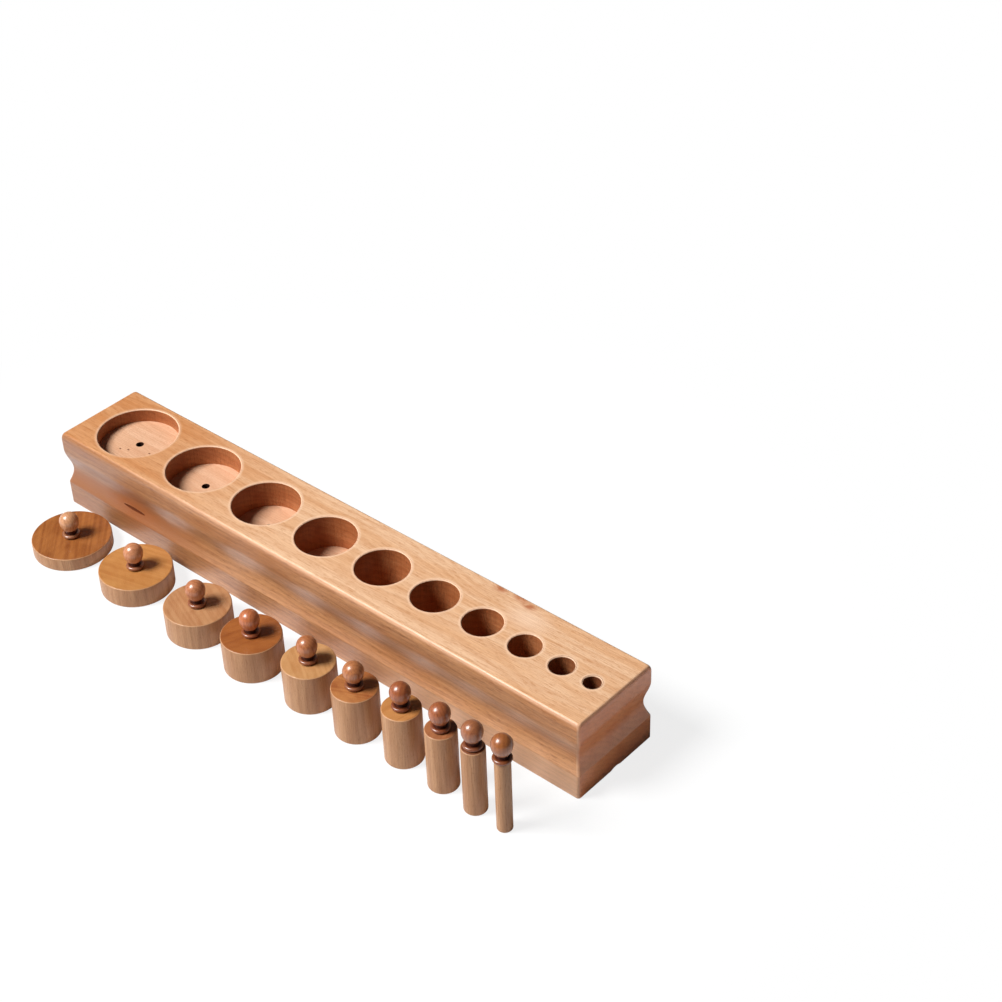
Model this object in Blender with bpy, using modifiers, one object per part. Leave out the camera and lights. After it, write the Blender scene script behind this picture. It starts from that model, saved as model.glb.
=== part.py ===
"""Knobbed cylinder block: a moulded beech block with ten sockets, and its ten knobbed cylinders.

The block lies along X with its widest, shallowest socket at -X. The cylinders stand on the table in
front of it, at -Y, each one beside the socket it belongs to. Z is up and the table is at Z = 0.
"""

from math import ceil, cos, pi, sin, sqrt

import bmesh
import bpy
from mathutils import Vector

# The cylinders: as they get narrower they get taller, in equal steps
CYLINDER_COUNT = 10
LARGEST_DIAMETER = 0.055
SMALLEST_DIAMETER = 0.010
SHORTEST_BODY = 0.010
TALLEST_BODY = 0.055
BODY_EDGE = 0.0005

# The sockets: each one is its cylinder's diameter and this clearance wide, and its body's height deep.
# In its floor is the pilot hole of the drill, which takes no more than its share of the floor
SOCKET_CLEARANCE = 0.0011
SOCKET_RIM_EDGE = 0.0004
PILOT_DIAMETER = 0.0056
PILOT_DEPTH = 0.006
PILOT_FLOOR_SHARE = 0.5

# The wood left round the sockets, which sets the block's length, width and height
END_WALL_WIDE = 0.0141
END_WALL_NARROW = 0.0124
SOCKET_WALL_WIDE = 0.0130
SOCKET_WALL_NARROW = 0.0097
SIDE_WALL = 0.007
DEEPEST_FLOOR = 0.004

# The block's moulding: a plinth, a hollow cut all round above it, and a slab
PLINTH_HEIGHT = 0.018
SLAB_HEIGHT = 0.013
HOLLOW_DEPTH = 0.0032
HOLLOW_WAIST_SHARE = 0.43
LONG_EDGE_RADIUS = 0.003
END_EDGE_RADIUS = 0.002
FOOT_EDGE_RADIUS = 0.0006
CORNER_RADIUS = 0.001
GROOVE_WIDTH = 0.010
GROOVE_DEPTH = 0.0014

# The knobs: a ball on a neck and a flange, with a tenon glued into the body. The tenon floor is the
# wood left under the tenon in the shortest body
BALL_DIAMETER = 0.0134
BALL_CENTRE_HEIGHT = 0.0118
BALL_LOWER_REACH = 0.0083
BALL_RIM_DROP = 0.0058
NECK_DIAMETER = 0.0068
FLANGE_DIAMETER = 0.0123
FLANGE_HEIGHT = 0.0025
TENON_DIAMETER = 0.005
TENON_FLOOR = 0.0025
TENON_EDGE = 0.0004
JOINT_GAP = 0.0003

# The row of cylinders on the table, in front of the block
STANDING_GAP_WIDE = 0.0055
STANDING_GAP_NARROW = 0.0394
STANDING_NUDGE = 0.005
NUDGE_ALONG_SHARES = (-0.2, -0.3, 0.7, 0.2, 0.3, -0.1, -0.3, -0.3, -0.4, -0.3)
NUDGE_TOWARDS_SHARES = (0.0, 0.5, 0.0, -0.1, 0.4, 0.15, 0.55, 0.35, 0.0, 0.0)

# How finely round shapes are cut into facets
FACET_LENGTH = 0.0035
FEWEST_STEPS = 24
KNOB_STEPS = 20
GROOVE_STEPS = 48
ARC_STEPS = 4
HOLLOW_STEPS = 5
CUTTER_OVERRUN = 0.002
MERGE_DISTANCE = 0.00001
SMOOTH_ANGLE = pi / 6

# Colours from the photograph, and how glossy the varnish is
BLOCK_COLOUR = (0.62, 0.36, 0.18, 1.0)
BODY_COLOUR = (0.60, 0.36, 0.20, 1.0)
KNOB_COLOUR = (0.42, 0.19, 0.09, 1.0)
BLOCK_ROUGHNESS = 0.42
BODY_ROUGHNESS = 0.5
KNOB_ROUGHNESS = 0.28


def stepped(first, last, place, count):
    """The value at a place in a row that goes from first to last in equal steps."""
    return first + (last - first) * place / (count - 1)


def cylinder_sizes():
    """Each cylinder's diameter and body height, widest first."""
    sizes = []
    for place in range(CYLINDER_COUNT):
        diameter = stepped(LARGEST_DIAMETER, SMALLEST_DIAMETER, place, CYLINDER_COUNT)
        height = stepped(SHORTEST_BODY, TALLEST_BODY, place, CYLINDER_COUNT)
        sizes.append((diameter, height))
    return sizes


SIZES = cylinder_sizes()
SOCKET_DIAMETERS = [diameter + SOCKET_CLEARANCE for diameter, height in SIZES]
SOCKET_WALLS = [
    stepped(SOCKET_WALL_WIDE, SOCKET_WALL_NARROW, gap, CYLINDER_COUNT - 1)
    for gap in range(CYLINDER_COUNT - 1)
]
BLOCK_LENGTH = END_WALL_WIDE + sum(SOCKET_DIAMETERS) + sum(SOCKET_WALLS) + END_WALL_NARROW
BLOCK_WIDTH = max(SOCKET_DIAMETERS) + 2 * SIDE_WALL
BLOCK_HEIGHT = max(height for diameter, height in SIZES) + DEEPEST_FLOOR
TENON_LENGTH = min(height for diameter, height in SIZES) - TENON_FLOOR


def socket_places():
    """Each socket's centre along the block."""
    places = []
    edge = -BLOCK_LENGTH / 2 + END_WALL_WIDE
    for place, diameter in enumerate(SOCKET_DIAMETERS):
        places.append(edge + diameter / 2)
        if place < len(SOCKET_WALLS):
            edge += diameter + SOCKET_WALLS[place]
    return places


def standing_places():
    """Where each cylinder stands, measured from the middle of the block's underside."""
    places = []
    for place, (diameter, height) in enumerate(SIZES):
        along = NUDGE_ALONG_SHARES[place % len(NUDGE_ALONG_SHARES)] * STANDING_NUDGE
        towards = NUDGE_TOWARDS_SHARES[place % len(NUDGE_TOWARDS_SHARES)] * STANDING_NUDGE
        gap = stepped(STANDING_GAP_WIDE, STANDING_GAP_NARROW, place, CYLINDER_COUNT) - towards
        places.append((socket_places()[place] + along, -(BLOCK_WIDTH / 2 + gap + diameter / 2)))
    return places


def block_setback():
    """How far the block lies behind the origin, so that the origin is in the middle of the whole set."""
    front = min(y - diameter / 2 for (x, y), (diameter, height) in zip(standing_places(), SIZES))
    return -(front + BLOCK_WIDTH / 2) / 2


def steps_round(radius):
    """A number of facets that is a multiple of four and suits a circle of this radius."""
    return max(FEWEST_STEPS, 4 * ceil(2 * pi * radius / FACET_LENGTH / 4))


def clear_scene():
    """Remove every object and every collection that the scene starts with."""
    for item in list(bpy.data.objects):
        bpy.data.objects.remove(item, do_unlink=True)
    for group in list(bpy.data.collections):
        bpy.data.collections.remove(group)


def new_collection(name):
    """A collection in the scene."""
    group = bpy.data.collections.new(name)
    bpy.context.scene.collection.children.link(group)
    return group


def wood(name, colour, roughness):
    """Varnished wood of one colour."""
    material = bpy.data.materials.new(name)
    material.use_nodes = True
    shader = material.node_tree.nodes["Principled BSDF"]
    shader.inputs["Base Color"].default_value = colour
    shader.inputs["Roughness"].default_value = roughness
    shader.inputs["Metallic"].default_value = 0.0
    return material


def turned(name, outline, steps, group):
    """A solid turned about its own Z axis from (radius, height) points that run down its outer side."""
    mesh = bpy.data.meshes.new(name)
    points = [(radius, 0, height) for radius, height in outline]
    mesh.from_pydata(points, [(i, i + 1) for i in range(len(points) - 1)], [])
    piece = bpy.data.objects.new(name, mesh)
    group.objects.link(piece)
    screw = piece.modifiers.new("turning", "SCREW")
    screw.axis = "Z"
    screw.steps = steps
    screw.render_steps = steps
    screw.use_merge_vertices = True
    screw.merge_threshold = MERGE_DISTANCE
    screw.use_smooth_shade = True
    return piece


def hollow_inset(height):
    """How far the moulding stands back from the plinth and the slab at this height."""
    foot = PLINTH_HEIGHT
    head = BLOCK_HEIGHT - SLAB_HEIGHT
    waist = foot + (head - foot) * HOLLOW_WAIST_SHARE
    if height <= foot or height >= head:
        return 0
    if height < waist:
        return HOLLOW_DEPTH * sin(pi / 2 * (height - foot) / (waist - foot))
    return HOLLOW_DEPTH * (1 + cos(pi * (height - waist) / (head - waist))) / 2


def edge_inset(height, radius):
    """How far a rounded top edge of this radius stands back at this height."""
    rise = height - (BLOCK_HEIGHT - radius)
    if rise <= 0:
        return 0
    return radius - sqrt(max(radius**2 - rise**2, 0))


def foot_inset(height):
    """How far the eased bottom edge stands back at this height."""
    return max(FOOT_EDGE_RADIUS - height, 0)


def moulding_heights():
    """The heights at which the block's outline changes, from the table up."""
    foot = PLINTH_HEIGHT
    head = BLOCK_HEIGHT - SLAB_HEIGHT
    waist = foot + (head - foot) * HOLLOW_WAIST_SHARE
    heights = [0, FOOT_EDGE_RADIUS]
    for step in range(HOLLOW_STEPS):
        heights.append(foot + (waist - foot) * step / HOLLOW_STEPS)
    for step in range(HOLLOW_STEPS + 1):
        heights.append(waist + (head - waist) * step / HOLLOW_STEPS)
    for step in range(ARC_STEPS + 1):
        heights.append(BLOCK_HEIGHT - LONG_EDGE_RADIUS * (1 - sin(pi / 2 * step / ARC_STEPS)))
    return heights


def rounded_oblong(half_length, half_width, height):
    """The points of a rectangle with rounded corners, anticlockwise from the right-hand side."""
    points = []
    for turn in range(4):
        x_side = (1, -1, -1, 1)[turn]
        y_side = (1, 1, -1, -1)[turn]
        centre = Vector((x_side * (half_length - CORNER_RADIUS), y_side * (half_width - CORNER_RADIUS), height))
        for step in range(ARC_STEPS):
            angle = pi / 2 * (turn + step / (ARC_STEPS - 1))
            points.append(centre + Vector((cos(angle), sin(angle), 0)) * CORNER_RADIUS)
    return points


def moulded_blank(name, group):
    """The block before it is drilled: rounded oblongs of unlike sizes, lofted from the table up."""
    form = bmesh.new()
    rings = []
    for height in moulding_heights():
        inset = hollow_inset(height) + foot_inset(height)
        half_length = BLOCK_LENGTH / 2 - inset - edge_inset(height, END_EDGE_RADIUS)
        half_width = BLOCK_WIDTH / 2 - inset - edge_inset(height, LONG_EDGE_RADIUS)
        rings.append([form.verts.new(point) for point in rounded_oblong(half_length, half_width, height)])
    for lower, upper in zip(rings, rings[1:]):
        for i in range(len(lower)):
            j = (i + 1) % len(lower)
            form.faces.new((lower[i], lower[j], upper[j], upper[i]))
    form.faces.new(list(reversed(rings[0])))
    form.faces.new(rings[-1])
    mesh = bpy.data.meshes.new(name)
    form.to_mesh(mesh)
    form.free()
    block = bpy.data.objects.new(name, mesh)
    group.objects.link(block)
    return block


def socket_cutter(place, along, group):
    """A turned cutter for one socket: its eased rim, its wall and floor, and the pilot hole of the drill."""
    radius = SOCKET_DIAMETERS[place] / 2
    depth = SIZES[place][1]
    floor_thickness = BLOCK_HEIGHT - depth - GROOVE_DEPTH
    pilot_depth = min(PILOT_DEPTH, PILOT_FLOOR_SHARE * floor_thickness)
    outline = [
        (0, CUTTER_OVERRUN),
        (radius + SOCKET_RIM_EDGE + CUTTER_OVERRUN, CUTTER_OVERRUN),
        (radius, -SOCKET_RIM_EDGE),
        (radius, -depth),
        (PILOT_DIAMETER / 2, -depth),
        (PILOT_DIAMETER / 2, -depth - pilot_depth),
        (0, -depth - pilot_depth),
    ]
    cutter = turned(f"cutter_socket_{place + 1:02d}", outline, steps_round(radius), group)
    cutter.location = (along, block_setback(), BLOCK_HEIGHT)
    return cutter


def groove_cutter(group):
    """A long round bar that cuts the shallow relief groove along the block's underside."""
    radius = ((GROOVE_WIDTH / 2) ** 2 + GROOVE_DEPTH**2) / (2 * GROOVE_DEPTH)
    bpy.ops.mesh.primitive_cylinder_add(
        vertices=GROOVE_STEPS,
        radius=radius,
        depth=BLOCK_LENGTH + 2 * CUTTER_OVERRUN,
        location=(0, block_setback(), GROOVE_DEPTH - radius),
        rotation=(0, pi / 2, 0),
    )
    cutter = bpy.context.object
    cutter.name = "cutter_groove"
    for owner in list(cutter.users_collection):
        owner.objects.unlink(cutter)
    group.objects.link(cutter)
    return cutter


def make_block(group, cutter_group):
    """The drilled block."""
    cutters = [groove_cutter(cutter_group)]
    for place, along in enumerate(socket_places()):
        cutters.append(socket_cutter(place, along, cutter_group))
    for cutter in cutters:
        cutter.hide_render = True
        cutter.display_type = "WIRE"
    block = moulded_blank("block", group)
    block.location = (0, block_setback(), 0)
    block.data.materials.append(wood("block_beech", BLOCK_COLOUR, BLOCK_ROUGHNESS))
    drilling = block.modifiers.new("drilling", "BOOLEAN")
    drilling.operation = "DIFFERENCE"
    drilling.solver = "EXACT"
    drilling.operand_type = "COLLECTION"
    drilling.collection = cutter_group
    return block


def make_body(name, diameter, height, group):
    """A cylinder's body: eased edges, and a blind bore for the knob's tenon."""
    radius = diameter / 2
    bore = TENON_DIAMETER / 2 + JOINT_GAP
    bore_floor = height - TENON_LENGTH - JOINT_GAP
    outline = [
        (0, bore_floor),
        (bore, bore_floor),
        (bore, height),
        (radius - BODY_EDGE, height),
        (radius, height - BODY_EDGE),
        (radius, BODY_EDGE),
        (radius - BODY_EDGE, 0),
        (0, 0),
    ]
    body = turned(name, outline, steps_round(radius), group)
    body.data.materials.append(wood(f"{name}_beech", BODY_COLOUR, BODY_ROUGHNESS))
    return body


def ball_outline(seat):
    """The ball's outer side: a round top, and a longer lower half cut off at its rim."""
    radius = BALL_DIAMETER / 2
    centre = seat + BALL_CENTRE_HEIGHT
    outline = []
    for step in range(ARC_STEPS + 1):
        angle = pi / 2 * step / ARC_STEPS
        outline.append((radius * sin(angle), centre + radius * cos(angle)))
    for step in range(1, ARC_STEPS):
        drop = BALL_RIM_DROP * step / (ARC_STEPS - 1)
        outline.append((radius * sqrt(1 - (drop / BALL_LOWER_REACH) ** 2), centre - drop))
    return outline


def flange_outline(seat):
    """The flange's rounded outer side, from the neck down to its flat underside."""
    radius = FLANGE_DIAMETER / 2
    half = FLANGE_HEIGHT / 2
    outline = []
    for step in range(ARC_STEPS + 1):
        angle = pi / 2 - pi * step / ARC_STEPS
        outline.append((radius - half + half * cos(angle), seat + half + half * sin(angle)))
    return outline


def make_knob(name, height, group):
    """A turned knob, seated on a body of this height with its tenon in the body's bore."""
    seat = height + JOINT_GAP
    neck = NECK_DIAMETER / 2
    tenon = TENON_DIAMETER / 2
    tenon_foot = height - TENON_LENGTH
    outline = ball_outline(seat)
    outline.append((neck, seat + BALL_CENTRE_HEIGHT - BALL_RIM_DROP))
    outline.append((neck, seat + FLANGE_HEIGHT))
    outline += flange_outline(seat)
    outline += [
        (tenon, seat),
        (tenon, tenon_foot + TENON_EDGE),
        (tenon - TENON_EDGE, tenon_foot),
        (0, tenon_foot),
    ]
    knob = turned(name, outline, KNOB_STEPS, group)
    knob.data.materials.append(wood(f"{name}_beech", KNOB_COLOUR, KNOB_ROUGHNESS))
    return knob


def make_cylinder(place, group):
    """One knobbed cylinder, on an empty that stands on its axis."""
    diameter, height = SIZES[place]
    along, across = standing_places()[place]
    stand = bpy.data.objects.new(f"cylinder_{place + 1:02d}_axis", None)
    group.objects.link(stand)
    stand.empty_display_size = diameter
    stand.location = (along, across + block_setback(), 0)
    body = make_body(f"cylinder_{place + 1:02d}_body", diameter, height, group)
    knob = make_knob(f"cylinder_{place + 1:02d}_knob", height, group)
    body.parent = stand
    knob.parent = stand
    return stand


def smooth_round_pieces(group):
    """Shade every piece smooth except across its sharp edges."""
    for piece in group.objects:
        if piece.type == "MESH":
            piece.data.shade_smooth()
            piece.data.set_sharp_from_angle(angle=SMOOTH_ANGLE)


def main():
    """Build the whole set."""
    clear_scene()
    set_group = new_collection("knobbed_cylinder_block")
    cutter_group = new_collection("cutters")
    make_block(set_group, cutter_group)
    for place in range(CYLINDER_COUNT):
        make_cylinder(place, set_group)
    smooth_round_pieces(set_group)


main()
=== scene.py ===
"""The looks of the knobbed cylinder block.

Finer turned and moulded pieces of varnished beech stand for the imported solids, in the same places and of
the same sizes. Lengths are in metres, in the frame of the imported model: +X runs along the block, the
cylinders stand at -Y and +Z is up.
"""

from math import ceil, cos, pi, radians, sin, sqrt

import bmesh
import bpy
from mathutils import Matrix, Vector


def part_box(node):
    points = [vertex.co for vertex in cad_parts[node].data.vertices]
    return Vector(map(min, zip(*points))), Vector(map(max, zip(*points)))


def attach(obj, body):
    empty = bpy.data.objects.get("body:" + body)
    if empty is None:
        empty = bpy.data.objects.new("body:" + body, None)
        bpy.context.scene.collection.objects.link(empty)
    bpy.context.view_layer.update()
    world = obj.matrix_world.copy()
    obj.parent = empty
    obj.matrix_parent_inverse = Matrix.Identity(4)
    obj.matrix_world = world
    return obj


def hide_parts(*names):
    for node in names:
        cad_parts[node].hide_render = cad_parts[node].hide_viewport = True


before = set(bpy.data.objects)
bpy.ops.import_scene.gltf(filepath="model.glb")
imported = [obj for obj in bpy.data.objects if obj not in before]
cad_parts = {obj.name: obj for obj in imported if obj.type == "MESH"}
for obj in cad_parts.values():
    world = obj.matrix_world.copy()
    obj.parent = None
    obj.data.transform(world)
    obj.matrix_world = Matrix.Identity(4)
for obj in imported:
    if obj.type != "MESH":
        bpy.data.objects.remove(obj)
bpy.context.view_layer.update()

# How many cylinders there are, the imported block's box, and the middle of its foot
CYLINDER_COUNT = 10
BLOCK_LOW, BLOCK_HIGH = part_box("block")
BLOCK_LENGTH, BLOCK_WIDTH, BLOCK_HEIGHT = BLOCK_HIGH - BLOCK_LOW
BLOCK_MIDDLE = Vector(((BLOCK_LOW.x + BLOCK_HIGH.x) / 2, (BLOCK_LOW.y + BLOCK_HIGH.y) / 2, BLOCK_LOW.z))

# The sockets, the wood between them, and the pilot holes in their floors
SOCKET_CLEARANCE = 0.0011
END_WALL_WIDE = 0.0141
SOCKET_WALL_WIDE = 0.0130
SOCKET_WALL_NARROW = 0.0097
SOCKET_RIM_RADIUS = 0.0009
PILOT_DIAMETER = 0.0056
PILOT_DEPTH = 0.006
PILOT_FLOOR_SHARE = 0.5
PILOT_TIP = 0.0008

# The block's moulding, its rounded edges, and the groove along its underside
PLINTH_HEIGHT = 0.018
SLAB_HEIGHT = 0.013
HOLLOW_DEPTH = 0.0032
HOLLOW_WAIST_SHARE = 0.43
BEAD_SOFTNESS = 0.0005
LONG_EDGE_WIDTH = 0.003
LONG_EDGE_HEIGHT = 0.0055
END_EDGE_WIDTH = 0.002
END_EDGE_HEIGHT = 0.0038
FOOT_EDGE_RADIUS = 0.0006
CORNER_RADIUS = 0.002
GROOVE_WIDTH = 0.010
GROOVE_DEPTH = 0.0014

# The short open crack along the grain in the front of the block
CRACK_PLACE = (-0.1632, 0.0245)
CRACK_LENGTH = 0.022
CRACK_HEIGHT = 0.0020
CRACK_DEPTH = 0.0036

# The turned bodies and knobs
BODY_EDGE = 0.0009
BALL_DIAMETER = 0.0134
BALL_CENTRE_HEIGHT = 0.0118
BALL_LOWER_REACH = 0.0083
BALL_RIM_DROP = 0.0058
BALL_RIM_RADIUS = 0.00035
NECK_DIAMETER = 0.0066
NECK_HOLLOW_SHARE = 0.06
FLANGE_DIAMETER = 0.0123
FLANGE_HEIGHT = 0.0025
TENON_DIAMETER = 0.005
TENON_LENGTH = 0.0075
TENON_EDGE = 0.0004
JOINT_GAP = 0.0003

# How finely the shapes are cut, how far a cutter reaches past the wood, and how faces are shaded
FACET_LENGTH = 0.0014
FEWEST_STEPS = 48
QUARTERS = 4
ARC_STEPS = 6
LONG_ARC_STEPS = 12
BALL_STEPS = 18
BEAD_STEPS = 8
HOLLOW_STEPS = 22
GROOVE_STEPS = 192
LENS_DETAIL = 4
UNIT_RADIUS = 0.5
CUTTER_OVERRUN = 0.002
MERGE_DISTANCE = 0.000002
SHARP_ANGLE = radians(32)
SHADING_WEIGHT = 100

# The camera, as it stood when the photograph was taken. Its sensor's width is in millimetres
PICTURE_WIDTH = 1002
FOCAL_LENGTH_PIXELS = 2069.2
SENSOR_WIDTH = 36
CAMERA_PLACE = (0.78329, -0.67318, 0.88465)
CAMERA_AZIMUTH = radians(42.14)
CAMERA_ELEVATION = radians(37.34)
CAMERA_ROLL = radians(-2.0)
MATRIX_SIZE = 4

# The curve that turns a screen's colours into light
CHANNEL_TOP = 255
CURVE_FOOT = 0.04045
CURVE_FOOT_SLOPE = 12.92
CURVE_OFFSET = 0.055
CURVE_POWER = 2.4


def light_share(channel):
    """How much light one channel of a screen's colour stands for, both from 0 to 1."""
    if channel <= CURVE_FOOT:
        return channel / CURVE_FOOT_SLOPE
    return ((channel + CURVE_OFFSET) / (1 + CURVE_OFFSET)) ** CURVE_POWER


def srgb(red, green, blue):
    """A colour as the shaders take it, from 0 to 255 values as a screen shows them."""
    return [light_share(value / CHANNEL_TOP) for value in (red, green, blue)] + [1.0]


def stepped(first, last, place, count):
    """The value at a place in a row that goes from first to last in equal steps."""
    return first + (last - first) * place / (count - 1)


def steps_round(radius):
    """A number of facets that is a multiple of four and suits a circle of this radius."""
    return max(FEWEST_STEPS, QUARTERS * ceil(2 * pi * radius / FACET_LENGTH / QUARTERS))


class Cylinder:
    """One packed cylinder: its size, the middle of its foot, and its socket's place along the block."""

    def __init__(self, place, socket_edge):
        low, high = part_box(f"cylinder_{place + 1:02d}_body")
        self.name = f"cylinder_{place + 1:02d}"
        self.place = place
        self.radius = (high.x - low.x) / 2
        self.height = high.z - low.z
        self.foot = Vector(((low.x + high.x) / 2, (low.y + high.y) / 2, low.z))
        self.socket_radius = self.radius + SOCKET_CLEARANCE / 2
        self.socket_along = socket_edge + self.socket_radius


def read_cylinders():
    """The ten packed cylinders, widest first."""
    found = []
    edge = BLOCK_LOW.x + END_WALL_WIDE
    for place in range(CYLINDER_COUNT):
        found.append(Cylinder(place, edge))
        wall = stepped(SOCKET_WALL_WIDE, SOCKET_WALL_NARROW, place, CYLINDER_COUNT - 1)
        edge += 2 * found[-1].socket_radius + wall
    return found


CYLINDERS = read_cylinders()


# Shapes


def new_collection(name):
    """A collection in the scene."""
    group = bpy.data.collections.new(name)
    bpy.context.scene.collection.children.link(group)
    return group


SET_GROUP = new_collection("knobbed_cylinder_block")
CUTTER_GROUP = new_collection("cutters")
STUDIO_GROUP = new_collection("studio")


def applied(piece):
    """The piece with its modifiers applied to its mesh."""
    graph = bpy.context.evaluated_depsgraph_get()
    mesh = bpy.data.meshes.new_from_object(piece.evaluated_get(graph))
    piece.modifiers.clear()
    piece.data = mesh
    return piece


def shaded_smooth(piece):
    """The piece shaded smooth except across its sharp lines."""
    piece.data.shade_smooth()
    piece.data.set_sharp_from_angle(angle=SHARP_ANGLE)
    return piece


def piece_from(form, name, group):
    """A piece made from a finished form, in one of the collections."""
    mesh = bpy.data.meshes.new(name)
    form.to_mesh(mesh)
    form.free()
    piece = bpy.data.objects.new(name, mesh)
    group.objects.link(piece)
    return piece


def turned(name, outline, steps, group):
    """A solid turned about its own Z axis from (radius, height) points that run down its outer side."""
    mesh = bpy.data.meshes.new(name)
    points = [(radius, 0, height) for radius, height in outline]
    mesh.from_pydata(points, [(i, i + 1) for i in range(len(points) - 1)], [])
    piece = bpy.data.objects.new(name, mesh)
    group.objects.link(piece)
    screw = piece.modifiers.new("turning", "SCREW")
    screw.steps = steps
    screw.render_steps = steps
    screw.use_merge_vertices = True
    screw.merge_threshold = MERGE_DISTANCE
    return piece


def arc(centre, radius, start, end, steps=ARC_STEPS):
    """Points along an arc about (radius, height), from one angle to another, measured from outwards."""
    points = []
    for step in range(steps + 1):
        angle = start + (end - start) * step / steps
        points.append((centre[0] + radius * cos(angle), centre[1] + radius * sin(angle)))
    return points


def hollow_inset(height):
    """How far the moulding stands back from the plinth and the slab at this height."""
    head = BLOCK_HEIGHT - SLAB_HEIGHT
    waist = PLINTH_HEIGHT + (head - PLINTH_HEIGHT) * HOLLOW_WAIST_SHARE
    if height <= PLINTH_HEIGHT or height >= head:
        return 0
    if height < waist:
        return HOLLOW_DEPTH * sin(pi / 2 * (height - PLINTH_HEIGHT) / (waist - PLINTH_HEIGHT))
    return HOLLOW_DEPTH * (1 + cos(pi * (height - waist) / (head - waist))) / 2


def softened_inset(height):
    """The hollow's inset with its bead rounded, as the mean over a short stretch of height."""
    shifts = [stepped(-BEAD_SOFTNESS, BEAD_SOFTNESS, i, ARC_STEPS + 1) for i in range(ARC_STEPS + 1)]
    return sum(hollow_inset(height + shift) for shift in shifts) / len(shifts)


def edge_inset(rise, width, height):
    """How far a rounded edge of this width and height stands back at this rise into its curve."""
    if rise <= 0:
        return 0
    return width * (1 - sqrt(max(1 - (rise / height) ** 2, 0)))


def moulding_heights():
    """The heights at which the block's outline is cut, from the table up."""
    head = BLOCK_HEIGHT - SLAB_HEIGHT
    bead_foot, bead_top = PLINTH_HEIGHT - BEAD_SOFTNESS, PLINTH_HEIGHT + BEAD_SOFTNESS
    heights = [FOOT_EDGE_RADIUS * (1 - cos(pi / 2 * i / ARC_STEPS)) for i in range(ARC_STEPS + 1)]
    heights += [stepped(bead_foot, bead_top, i, BEAD_STEPS) for i in range(BEAD_STEPS)]
    heights += [bead_top + (head - bead_top) * (i + 1) / HOLLOW_STEPS for i in range(HOLLOW_STEPS)]
    for step in range(LONG_ARC_STEPS + 1):
        heights.append(BLOCK_HEIGHT - LONG_EDGE_HEIGHT * (1 - sin(pi / 2 * step / LONG_ARC_STEPS)))
    return heights


def rounded_oblong(half_length, half_width, height):
    """The points of a rectangle with rounded corners, anticlockwise from the right-hand side."""
    points = []
    sides = ((1, 1), (-1, 1), (-1, -1), (1, -1))
    for turn, (x_side, y_side) in enumerate(sides):
        x, y = x_side * (half_length - CORNER_RADIUS), y_side * (half_width - CORNER_RADIUS)
        centre = Vector((x, y, height))
        for step in range(ARC_STEPS + 1):
            angle = pi / 2 * (turn + step / ARC_STEPS)
            points.append(centre + Vector((cos(angle), sin(angle), 0)) * CORNER_RADIUS)
    return points


def moulded_blank(name):
    """The block before it is drilled: rounded oblongs of unlike sizes, lofted from the table up."""
    form = bmesh.new()
    rings = []
    for height in moulding_heights():
        foot = edge_inset(FOOT_EDGE_RADIUS - height, FOOT_EDGE_RADIUS, FOOT_EDGE_RADIUS)
        inset = softened_inset(height) + foot
        end = edge_inset(height - BLOCK_HEIGHT + END_EDGE_HEIGHT, END_EDGE_WIDTH, END_EDGE_HEIGHT)
        side = edge_inset(height - BLOCK_HEIGHT + LONG_EDGE_HEIGHT, LONG_EDGE_WIDTH, LONG_EDGE_HEIGHT)
        ring = rounded_oblong(BLOCK_LENGTH / 2 - inset - end, BLOCK_WIDTH / 2 - inset - side, height)
        rings.append([form.verts.new(point) for point in ring])
    for lower, upper in zip(rings, rings[1:]):
        for i in range(len(lower)):
            j = (i + 1) % len(lower)
            form.faces.new((lower[i], lower[j], upper[j], upper[i]))
    form.faces.new(list(reversed(rings[0])))
    form.faces.new(rings[-1])
    block = piece_from(form, name, SET_GROUP)
    block.location = BLOCK_MIDDLE
    return block


def socket_cutter(cylinder, material):
    """A turned cutter for one socket: its rounded rim, its wall and its floor."""
    radius, depth = cylinder.socket_radius, cylinder.height
    outline = [(0, CUTTER_OVERRUN), (radius + SOCKET_RIM_RADIUS, CUTTER_OVERRUN)]
    outline += arc((radius + SOCKET_RIM_RADIUS, -SOCKET_RIM_RADIUS), SOCKET_RIM_RADIUS, pi / 2, pi)
    outline += [(radius, -depth), (0, -depth)]
    cutter = turned(f"cutter_{cylinder.name}", outline, steps_round(radius), CUTTER_GROUP)
    cutter.location = (cylinder.socket_along, BLOCK_MIDDLE.y, BLOCK_HIGH.z)
    cutter.data.materials.append(material)
    return cutter


def pilot_cutter(cylinder, material):
    """A turned cutter for the pilot hole that the drill leaves in a socket's floor."""
    radius = PILOT_DIAMETER / 2
    floor_thickness = BLOCK_HEIGHT - cylinder.height - GROOVE_DEPTH
    depth = min(PILOT_DEPTH, PILOT_FLOOR_SHARE * floor_thickness)
    outline = [(0, CUTTER_OVERRUN), (radius, CUTTER_OVERRUN), (radius, PILOT_TIP - depth), (0, -depth)]
    cutter = turned(f"cutter_{cylinder.name}_pilot", outline, FEWEST_STEPS, CUTTER_GROUP)
    cutter.location = (cylinder.socket_along, BLOCK_MIDDLE.y, BLOCK_HIGH.z - cylinder.height)
    cutter.data.materials.append(material)
    return cutter


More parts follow.
